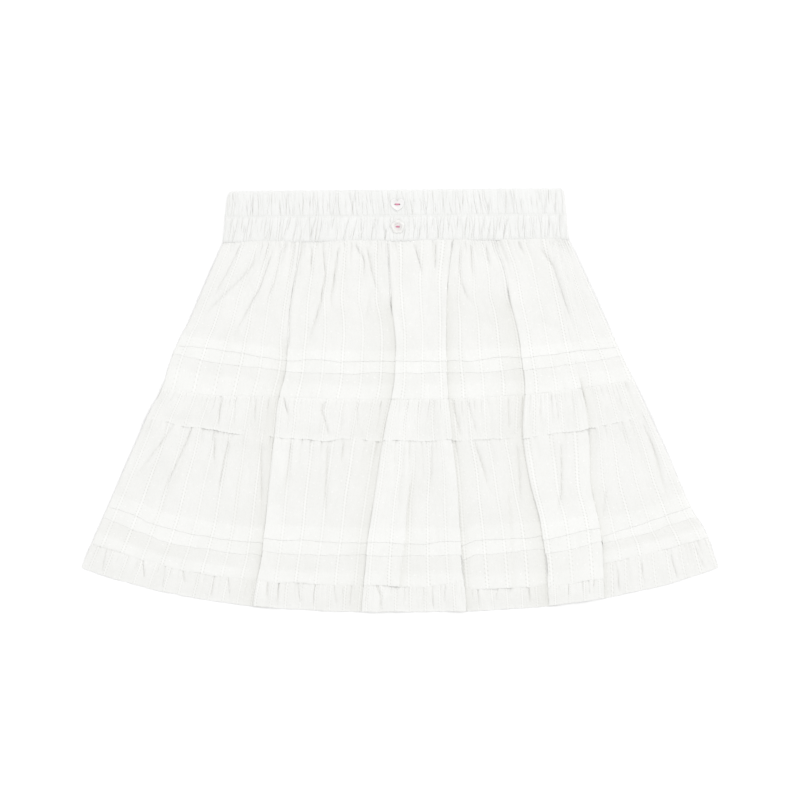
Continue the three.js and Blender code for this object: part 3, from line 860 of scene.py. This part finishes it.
HEM_FOLDS = [
    ([(-220, 257), (-224, 276)], 1.2, 1.7, 1.3),
    ([(-193, 257), (-192, 272)], 1.4, 1.8, 0.8),
    ([(-176, 257), (-179, 276)], 1.0, 1.5, 1.2),
    ([(-163, 258), (-162, 268)], 1.5, 2.2, 0.8),
    ([(-139, 257), (-143, 277)], 1.5, 2.0, 1.3),
    ([(-129, 257), (-128, 272)], 1.1, 1.5, 1.2),
    ([(-99, 258), (-100, 270)], 1.5, 2.2, 0.8),
    ([(-90, 257), (-93, 276)], 1.2, 1.6, 1.2),
    ([(-76, 257), (-75, 273)], 1.1, 1.6, 0.8),
    ([(-63, 257), (-66, 277)], 1.4, 1.9, 1.3),
    ([(-49, 257), (-48, 273)], 1.1, 1.6, 1.2),
    ([(-36, 257), (-38, 275)], 1.3, 1.8, 0.8),
    ([(-18, 257), (-14, 266), (-15, 277)], 1.6, 2.0, 1.3),
    ([(4, 257), (3, 274)], 1.0, 1.5, 0.8),
    ([(24, 257), (25, 277)], 1.3, 1.7, 1.2),
    ([(34, 257), (33, 271)], 1.0, 1.4, 0.8),
    ([(58, 257), (59, 276)], 1.2, 1.7, 1.3),
    ([(73, 257), (72, 272)], 0.9, 1.4, 1.2),
    ([(96, 257), (98, 277)], 1.3, 1.8, 0.8),
    ([(126, 257), (127, 274)], 0.9, 1.4, 1.2),
    ([(141, 257), (143, 276)], 1.0, 1.6, 0.8),
    ([(163, 257), (165, 277)], 1.5, 2.0, 1.3),
    ([(181, 257), (184, 274)], 1.2, 1.6, 1.2),
    ([(203, 257), (209, 277)], 1.3, 1.8, 0.8),
    ([(221, 257), (229, 275)], 1.0, 1.5, 1.2),
]


# Gathers of two sizes: pitch, how far they reach, how deep and how wide.
RUFFLE_GATHERS = ((4.0, (0.25, 1.7), (0.4, 1.2), (0.26, 0.6)), (19, (1.3, 3.2), (0.4, 1.1), (0.6, 1.5)))
BACK_GATHERS = ((9, (0.15, 0.7), (0.3, 0.8), (0.9, 2.0)), (33, (0.5, 1.4), (0.3, 0.9), (1.6, 3.4)))


def sized_gathers(rng, across, depth, narrow, seam, table, far, size, spread=1.6):
    """The gathers of a table, with their reach taken as shares of far and their depth of size."""
    h = 0
    for pitch, reach, low, wide in table:
        length = (far * reach[0], far * reach[1])
        deep = (low[0] * size, low[1] * size)
        h = h + gathers(rng, across, depth, narrow, seam, pitch, length, deep, wide, spread)
    return h


def ruffle_relief(start, end, size, rise, folds):
    """The relief of a ruffle that is sewn on at start and ends at end, with its folds from a table."""
    deep = end - start

    def relief(rng, base, across, depth):
        y = lay_y(base["x"], depth) - base["y_drop"]
        run = np.clip((depth - start) / deep, 0, 1.1)
        narrow = squeeze(depth, end) / RUFFLE_FULL
        h = sized_gathers(rng, across, depth, narrow, start, RUFFLE_GATHERS, deep, size, 1.2)
        for path, low, wide, lean in folds:
            sagged = [(px, SEAM_Y - float(lay_y(px, pd))) for px, pd in path]
            h = h + crease(base["x"], y, sagged, low * size, wide, lean, ends=(0.1, 0.25))
        h = h * (1 - 0.5 * smooth(0.72, 0.97, run))
        waves = 0
        for length in (11, 17, 26, 41):
            waves = waves + np.sin(across * TURN / length + any_phase(rng) + 0.5 * run)
        h = h + waves * 0.11 * size * run
        return h + 0.55 * size * smooth(0, rise, run) * (1 - 0.8 * smooth(0.55, 1, run))

    return relief


flounce_rows = (
    [(117.9, -0.5, 0, 0.6), (118.6, -0.1, 0, 0.6), (119.4, 0.14, 0, 0.5), (120.4, 0.26, 0, 0.3)]
    + [(d, 0.3, w, t) for d, _, w, t in plain(121.8, 146.5, 1.8)]
    + [(147.2, 0.26, 0.9, 0.5), (148.2, 0.22, 1, 0.9), (149, 0.16, 1, 0.9)]
)
flounce_front = front_panel(
    "flounce_cloth", flounce_rows, 0.62, ruffle_relief(118.5, FLOUNCE_EDGE, 0.85, 0.4, FLOUNCE_FOLDS), 31,
    RUFFLE_FULL, edge_wave=0.9, scallop=0.45)
hem_rows = (
    [(253.5, -0.16, 0, 0.6), (255.5, -0.14, 0, 0.5), (257.2, -0.08, 0, 0.3)]
    + plain(258.8, 275, 1.7) + [(275.8, 0, 0.9, 0.5), (276.8, 0.05, 1, 0.9), (277.5, 0.02, 1, 0.9)]
)
hem_front = front_panel(
    "hem_ruffle_cloth", hem_rows, 0.62, ruffle_relief(HEM_SEAM, SKIRT_DEPTH, 0.75, 0.15, HEM_FOLDS), 41,
    RUFFLE_FULL, edge_wave=0.3, scallop=0.3)


# ---------------------------------------------------------------- the back, lying flat
BACK_LIFT = 0.02                               # height of the back's lowest face
BACK_INSET = 1.0                               # how far its sides lie inside the front's


def back_panel(name, rows, columns, relief, seed, full=1.0):
    rng = np.random.default_rng(seed)
    depth, stand, wave, extra = np.array(rows, float).T
    d = depth[:, None]
    f = np.linspace(-1, 1, columns + 1)
    side = half_width(d) - BACK_INSET
    x = middle(d) + side * f
    across = (f + 1) * side[-1] * full
    y = lay_y(x, d + wave[:, None] * waver(rng, across, 0.4))
    h = -relief(rng, across[None, :], d)
    z = BACK_LIFT + CLOTH / 2 + stand[:, None] + np.clip(h, 0, 0.75)
    up = 1 - rounded((1 - np.abs(f)) * side[-1] / SIDE_ROUND)
    z = z + up * np.clip(0.62 - z, 0, None) * 0.6
    tone = np.clip(extra[:, None] + 0 * y, 0, 1)
    # The last mask is painted shade in the troughs of the back's gathers.
    return shell(name, np.stack([x, y, z], -1), cloth_uv(across, depth, stand), tone, 0.6 * cavity(-h))


def back_relief(seam, reach, size, end=SKIRT_DEPTH):
    def relief(rng, across, depth):
        return sized_gathers(rng, across, depth, squeeze(depth, end), seam, BACK_GATHERS, reach, size)

    return relief


def back_tuck(root, edge):
    """A tuck on the side that faces down, so its layers lie under the panel."""
    return [(d, 0.9 * (1.05 - n) / 1.05, w, t) for d, n, w, t in tuck(root, edge)]


upper_back = back_panel(
    "upper_tier_back_cloth",
    [(d, 0.6, 0, 0) for d, *_ in plain(0.5, 82, 4)] + back_tuck(82, 90) + back_tuck(91, 99)
    + [(104, 0.6, 0, 0), (108, 0.6, 0, 0.8), (118.5, 0.6, 0, 0.8)],
    230, back_relief(0, 80, 0.8, UPPER_DEPTH), 51)
flounce_back = back_panel(
    "flounce_back_cloth",
    [(119.6, 0.25, 0, 0.5)] + [(d, 0.0, 0, 0.2) for d, *_ in plain(121.5, 147, 3)]
    + [(147.5, 0, 1, 0.9), (149, 0, 1, 0.9)],
    420, back_relief(119, 32, 0.7, FLOUNCE_EDGE), 52, RUFFLE_FULL)
lower_back = back_panel(
    "lower_tier_back_cloth",
    [(d, 1.25, 0, 0) for d, *_ in plain(119.6, 151, 4)] + [(156, 1.0, 0, 0), (162, 0.6, 0, 0)]
    + [(d, 0.6, 0, 0) for d, *_ in plain(166, 213, 4)] + back_tuck(214, 225) + back_tuck(225.6, 235.5)
    + [(240, 0.6, 0, 0), (248, 0.6, 0, 0.8), (256, 0.6, 0, 0.8)],
    300, back_relief(145, 70, 0.7, HEM_SEAM), 53)
hem_back = back_panel(
    "hem_ruffle_back_cloth",
    [(256.8, 0.25, 0, 0.5)] + [(d, 0.0, 0, 0.2) for d, *_ in plain(259, 273, 3)]
    + [(273.5, 0, 1, 0.9), (275, 0, 1, 0.9)],
    480, back_relief(256.5, 24, 0.7), 54, RUFFLE_FULL)


# ---------------------------------------------------------------- the waistband
HEART_AT = (-2.0, -27.6)
FLOWER_AT = (-1.6, -10.9)
STITCHED = -19.2                               # the line of stitching between the two casings
BAND_HALF = 126
BAND_FULL = 1.7                                # cloth in the waistband for each length across it
BAND_FACE = 2.1
# Top, bottom, the lean of the gathers in the middle, and how it changes towards the sides.
CASINGS = ((-BAND_DEPTH, STITCHED, 0.07, 0.07), (STITCHED, 0.0, -0.09, 0.11))


def band_relief(rng, x, depth, size):
    """Fine gathers of two elastic casings: each has its own, and they pinch at the stitching."""
    h = np.zeros_like(x * depth)
    for top, bottom, slope, fan in CASINGS:
        t = (depth - top) / (bottom - top)
        here = smooth(-0.02, 0.05, t) * (1 - smooth(0.95, 1.02, t))
        puff = np.clip(4 * t * (1 - t), 0, 1) ** 0.42
        at = x.min() - 4
        valley = np.zeros_like(h)
        while at < x.max() + 4:
            w = rng.uniform(0.15, 0.34)
            deep = rng.uniform(0.22, 0.75) * size * rng.choice([1, 1, 1, 1, -0.5])
            lean = rng.uniform(0.6, 1.6)
            tilt = slope + fan * at / BAND_HALF + rng.normal(0, 0.07)
            start = rng.choice([0.0, 0.0, 0.0, 0.35, 0.5])
            stop = rng.choice([1.0, 1.0, 1.0, 0.6, 0.5])
            fade = smooth(start - 0.12, start + 0.12, t) * (1 - smooth(stop - 0.12, stop + 0.12, t))
            off = x - (at + tilt * (depth - top) + 0.5 * np.sin(depth / 5 + at))
            side = np.where(off > 0, w * lean, w / lean)
            valley = valley - deep * fade * np.exp(-np.abs(off / side) ** 1.2)
            at += rng.uniform(0.45, 1.5)
        h = h + here * (puff * (1.0 + valley) + (1 - puff) * 0.6 * valley)
    pinch = np.exp(-((depth - STITCHED) / 0.8) ** 2) + np.exp(-((depth + 1.2) / 0.7) ** 2)
    return h - 0.12 * pinch


def band(name, columns, rows, low, face, seed, size, down):
    """A casing pair as one closed form. face is the height of its flat side, low its thickness."""
    rng = np.random.default_rng(seed)
    depth = np.linspace(-BAND_DEPTH, -0.1, rows + 1)
    d = depth[:, None]
    f = np.linspace(-1, 1, columns + 1)
    x = middle(0.0) + half_width(d) * f
    relief = band_relief(rng, x, d, size)
    for bx, bd in (HEART_AT, FLOWER_AT):
        pressed = np.exp(-(((x - bx) ** 2 + (d - bd) ** 2) / 5.6 ** 2) ** 2)
        relief = relief * (1 - 0.75 * pressed) + 0.2 * pressed
    from_side = (1 - np.abs(f)) * BAND_HALF
    round_end = rounded(np.minimum(d + BAND_DEPTH, -d) / np.where(d > -10, 3.2, 1.3))
    tall = np.maximum((low + relief) * rounded(from_side / 2.2) * np.maximum(round_end, 0.3), 0.12)
    row = x[:1]
    jitter = 0.1 * np.sin(row * 1.9) * np.sin(row * 0.37)
    crinkle = 0.22 * np.sin(row * 2.3 + np.sin(row * 0.9))
    crinkle = crinkle + 0.2 * np.sin(row * 1.1 + 2 * np.sin(row * 0.21))
    corner = 3.0 * (1 - rounded(from_side / 3.2))
    y = lay_y(x, d) + (jitter - corner) * (1 - smooth(-BAND_DEPTH, -33, d))
    y = y + crinkle * smooth(-2.6, -0.3, d)
    flat = np.stack([x, y, face + 0 * x], -1)
    if down:
        upper = flat
        under = np.stack([x, y, face - np.clip(tall, 0, face - 0.02)], -1)
    else:
        upper = np.stack([x, y, face + tall], -1)
        under = flat
    across = (f + 1) * BAND_HALF * BAND_FULL
    uv = np.stack(np.broadcast_arrays(across[None, :], d), -1)
    tone = 0.5 + 0.4 * np.exp(-((d - STITCHED) / 1.5) ** 2) + 0 * x
    # The last mask is painted shade in the troughs of the gathers.
    return cloth_piece(name, upper, under, uv, tone, cavity(1.3 * relief), band_cotton, False)


band_front = band("waistband_cloth", 1100, 34, 0.75, BAND_FACE, 61, 1.0, False)
band_back = band("waistband_back_cloth", 420, 30, 0.5, 1.75, 62, 0.6, True)


# ---------------------------------------------------------------- buttons
BUTTON_FACE = BAND_FACE + 1.0
HEART_SPREAD = 1.6                             # how far the holes lie from a button's middle
FLOWER_SPREAD = 1.15


def bezier(a, b, c, d, count):
    t = np.linspace(0, 1, count + 1)[:-1, None]
    a, b, c, d = (np.array(q, float) for q in (a, b, c, d))
    return (1 - t) ** 3 * a + 3 * (1 - t) ** 2 * t * b + 3 * (1 - t) * t ** 2 * c + t ** 3 * d


def heart_outline(width, height):
    half = width / 2
    side = height * 0.1
    tip = (0, -height * 0.54)
    lobe = bezier((0, height * 0.27), (half * 0.2, height * 0.5), (half, height * 0.55), (half, side), 18)
    flank = bezier((half, side), (half, -height * 0.18), (half * 0.45, -height * 0.38), tip, 18)
    right = np.concatenate([lobe, flank, [tip]])
    left = right[1:-1][::-1] * (-1, 1)
    return np.concatenate([right, left])[::-1]


def flower_outline(radius, petals):
    turn = np.linspace(0, 2 * math.pi, petals * 14 + 1)[:-1]
    r = radius * (0.84 + 0.16 * np.abs(np.cos(petals * turn / 2)) ** 0.8)
    return np.stack([-r * np.sin(turn), r * np.cos(turn)], 1)


def ring_faces(rings, count):
    """The faces of a closed form through rings of points, with a cap at each end."""
    faces = []
    for r in range(rings - 1):
        for i in range(count):
            j = (i + 1) % count
            faces.append((r * count + i, r * count + j, (r + 1) * count + j, (r + 1) * count + i))
    faces.append(tuple(range(count))[::-1])
    faces.append(tuple((rings - 1) * count + i for i in range(count)))
    return faces


def solid_mesh(name, verts, faces):
    mesh = bpy.data.meshes.new(name)
    mesh.from_pydata(verts, [], faces)
    bm = bmesh.new()
    bm.from_mesh(mesh)
    bmesh.ops.recalc_face_normals(bm, faces=bm.faces)
    bm.to_mesh(mesh)
    bm.free()
    return mesh


def dress(piece, mesh, material):
    mesh.materials.clear()
    mesh.materials.append(material)
    for polygon in mesh.polygons:
        polygon.use_smooth = True
    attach(piece, "root")


def button(name, outline, profile, at, material, node, roundness, spread):
    """A sewn button: rings of its outline at each (size, height), and two holes cut through."""
    verts = []
    radii = np.hypot(outline[:, 0], outline[:, 1])
    circle = outline / radii[:, None] * radii.mean()
    for size, high in profile:
        blend = min(1, 2.2 * roundness * (1 - size))
        ring = (outline * (1 - blend) + circle * blend) * size
        verts += [(x, y, high) for x, y in ring]
    body = place(name, solid_mesh(name, verts, ring_faces(len(profile), len(outline))))
    drills = []
    for side in (-1, 1):
        drill_mesh = bpy.data.meshes.new("drill")
        bm = bmesh.new()
        bmesh.ops.create_cone(bm, cap_ends=True, segments=20, radius1=0.62, radius2=0.62, depth=8)
        bm.to_mesh(drill_mesh)
        bm.free()
        drill = place("drill", drill_mesh)
        drill.location = (side * spread, 0, 0)
        cut = body.modifiers.new("hole", "BOOLEAN")
        cut.object = drill
        cut.solver = "EXACT"
        drills.append(drill)
    bpy.context.view_layer.update()
    done = bpy.data.meshes.new_from_object(body.evaluated_get(bpy.context.evaluated_depsgraph_get()))
    body.modifiers.clear()
    for drill in drills:
        bpy.data.objects.remove(drill)
    x, depth = at
    co = np.zeros(len(done.vertices) * 3)
    done.vertices.foreach_get("co", co)
    co = co.reshape(-1, 3) + (x, float(lay_y(x, depth)), BUTTON_FACE)
    done.vertices.foreach_set("co", (co * MM).ravel())
    done.name = name
    body.data = done
    dress(body, done, material)
    done.update()
    sharp = body.modifiers.new("edges", "EDGE_SPLIT")
    sharp.split_angle = math.radians(42)
    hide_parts(node)


def tube(path, radius, sides=8):
    """Vertices and faces of a closed round strand along a path."""
    path = np.array(path, float)
    tangent = np.gradient(path, axis=0)
    tangent /= np.linalg.norm(tangent, axis=1)[:, None]
    verts = []
    ref = np.array((0.0, 1.0, 0.05))
    for p, t in zip(path, tangent):
        a = np.cross(t, ref)
        a /= np.linalg.norm(a)
        b = np.cross(t, a)
        for i in range(sides):
            w = 2 * math.pi * i / sides
            verts.append(p + radius * (math.cos(w) * a + math.sin(w) * b))
    return verts, ring_faces(len(path), sides)


def shell_material(name, color, cloud):
    g = Graph(name)
    local = g.nodes.new("ShaderNodeTexCoord").outputs["Object"]
    dark = tuple(c * cloud for c in color[:3]) + (1.0,)
    patch = g.step(g.noise(local, 420.0, 2.0), 0.35, 0.7)
    g.set(Base_Color=g.mix(patch, color, dark), Roughness=0.22, Coat_Weight=0.5, Coat_Roughness=0.08)
    g.bump(g.noise(local, 900.0, 2.0), 0.00004, 0.6)
    return g.material


def thread_material(name, color):
    g = Graph(name)
    local = g.nodes.new("ShaderNodeTexCoord").outputs["Object"]
    fibre = g.noise(local, 2600.0, 3.0)
    dark = tuple(c * 0.8 for c in color[:3]) + (1.0,)
    g.set(Base_Color=g.mix(g.step(fibre, 0.35, 0.65), dark, color), Roughness=0.6, Sheen_Weight=0.2)
    g.bump(fibre, 0.00006, 0.8)
    return g.material


pearl = shell_material("pearl_white", (0.80, 0.795, 0.79, 1.0), 0.95)
clear = shell_material("clear_shell", (0.80, 0.795, 0.775, 1.0), 0.9)
pink = thread_material("pink_thread", (0.78, 0.27, 0.42, 1.0))
button(
    "heart_shell_button", heart_outline(10.6, 9.6),
    [(0.90, 0.0), (0.97, 0.12), (1.0, 0.45), (1.0, 0.95), (0.975, 1.28), (0.93, 1.45), (0.87, 1.5),
     (0.80, 1.44), (0.70, 1.3), (0.45, 1.22), (0.15, 1.2)],
    HEART_AT, pearl, "heart_button", 0.0, HEART_SPREAD)
button(
    "flower_shell_button", flower_outline(5.3, 5),
    [(0.88, 0.0), (0.96, 0.1), (1.0, 0.42), (1.0, 0.85), (0.97, 1.18), (0.90, 1.42), (0.80, 1.5),
     (0.66, 1.42), (0.56, 1.2), (0.50, 0.8), (0.42, 0.55), (0.15, 0.5)],
    FLOWER_AT, clear, "flower_button", 1.0, FLOWER_SPREAD)


def thread(name, at, top, bars, spread):
    """The strands through a button's holes. Each bar is (start, end, how much higher it lies)."""
    x, depth = at
    y = float(lay_y(x, depth))
    sunk = 0.35
    verts, faces = [], []
    for start, end, high in bars:
        path = []
        for f in np.linspace(0, 1, 13):
            along = spread * (2 * f - 1)
            rise = min(1.0, 5.2 * min(f, 1 - f)) ** 0.6
            z = BUTTON_FACE + sunk + (top + high - sunk) * rise
            path.append((x + along, y + start + (end - start) * f, z))
        strand, sides = tube(path, 0.21)
        first = len(verts)
        verts += [tuple(q * MM) for q in strand]
        faces += [tuple(first + i for i in side) for side in sides]
    mesh = solid_mesh(name, verts, faces)
    dress(place(name, mesh), mesh, pink)


thread("heart_thread", HEART_AT, 1.45,
       [(-0.42, -0.32, 0.0), (-0.12, -0.02, 0.03), (0.2, 0.12, 0.02), (0.4, 0.42, 0.0),
        (-0.25, 0.28, 0.26)], HEART_SPREAD)
thread("flower_thread", FLOWER_AT, 0.98,
       [(-0.42, -0.3, 0.0), (-0.1, 0.0, 0.04), (0.22, 0.16, 0.02), (0.42, 0.4, 0.0), (0.45, -0.4, 0.3),
        (-0.45, 0.42, 0.52)], FLOWER_SPREAD)

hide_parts("upper_tier_front")
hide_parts("lower_tier_front")
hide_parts("flounce_front")
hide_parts("hem_ruffle_front")
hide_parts("upper_tier_back")
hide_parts("lower_tier_back")
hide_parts("flounce_back")
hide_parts("hem_ruffle_back")
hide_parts("waistband_front")
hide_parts("waistband_back")


# ---------------------------------------------------------------- floor, light, camera
floor_look = Graph("studio_floor")
floor_look.set(Base_Color=(0.97, 0.97, 0.97, 1.0), Roughness=0.9, Specular_IOR_Level=0.1)
floor_mesh = bpy.data.meshes.new("floor")
floor_mesh.from_pydata([(-4, -4, 0), (4, -4, 0), (4, 4, 0), (-4, 4, 0)], [], [(0, 1, 2, 3)])
floor_mesh.materials.append(floor_look.material)
floor = place("floor", floor_mesh)
floor.location = (0, 0, -0.0002)


KEY_PLACE = (0.9, 1.4, 2.1)
key = bpy.data.lights.new("key", "AREA")
key.shape = "DISK"
key.size = 2.2
key.energy = 13
lamp = place("key", key)
lamp.location = KEY_PLACE
lamp.rotation_euler = mathutils.Vector([-c for c in KEY_PLACE]).to_track_quat("-Z", "Y").to_euler()
world = bpy.data.worlds.new("studio")
world.use_nodes = True
sky = world.node_tree.nodes["Background"]
sky.inputs["Color"].default_value = (1, 1, 1, 1)
sky.inputs["Strength"].default_value = 1.06
bpy.context.scene.world = world
bpy.context.scene.view_settings.view_transform = "Standard"

LENS = 200.0
SENSOR = 36.0
VIEW_WIDTH = 0.6
camera_data = bpy.data.cameras.new("camera")
camera_data.lens = LENS
camera_data.sensor_width = SENSOR
camera_data.clip_end = 50
camera = place("camera", camera_data)
camera.location = (0, 0, VIEW_WIDTH * LENS / SENSOR)
bpy.context.scene.camera = camera
